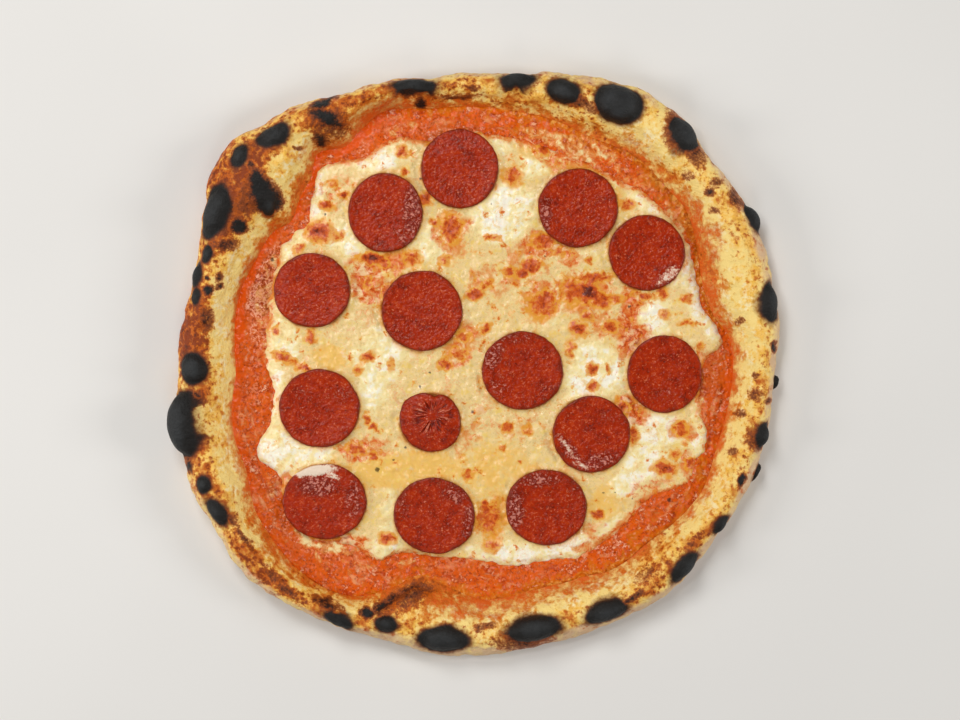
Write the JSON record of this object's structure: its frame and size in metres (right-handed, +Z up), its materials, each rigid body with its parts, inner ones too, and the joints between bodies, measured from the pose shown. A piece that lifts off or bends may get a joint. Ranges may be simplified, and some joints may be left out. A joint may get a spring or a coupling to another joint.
{
  "type": "pepperoni pizza",
  "caption": "Whole round wood-fired pizza with a puffed, charred dough rim, tomato sauce, melted mozzarella and slices of pepperoni.",
  "frame": {"origin": "middle of the pizza's footprint box, at the surface it rests on", "axes": "+Z up out of the topped face; +Y towards the far side as it is seen from above, +X to the right"},
  "size_m": [0.3243, 0.3094, 0.0253],
  "materials": {
    "baked_dough": "matte, mottled brown with black blisters",
    "tomato_sauce": "moist, slightly grainy",
    "melted_mozzarella": "soft gloss, cream with browned spots",
    "pepperoni": "oily, brick red with fine mottling"
  },
  "bodies": {
    "root": {"crust": "baked_dough", "tomato_sauce": "tomato_sauce", "melted_mozzarella": "melted_mozzarella", "pepperoni_slice_01": "pepperoni", "pepperoni_slice_02": "pepperoni", "pepperoni_slice_03": "pepperoni", "pepperoni_slice_04": "pepperoni", "pepperoni_slice_05": "pepperoni", "pepperoni_slice_06": "pepperoni", "pepperoni_slice_07": "pepperoni", "pepperoni_slice_08": "pepperoni", "pepperoni_slice_09": "pepperoni", "pepperoni_slice_10": "pepperoni", "pepperoni_slice_11": "pepperoni", "pepperoni_slice_12": "pepperoni", "pepperoni_slice_13": "pepperoni", "pepperoni_end_piece": "pepperoni"}
  },
  "joints": []
}
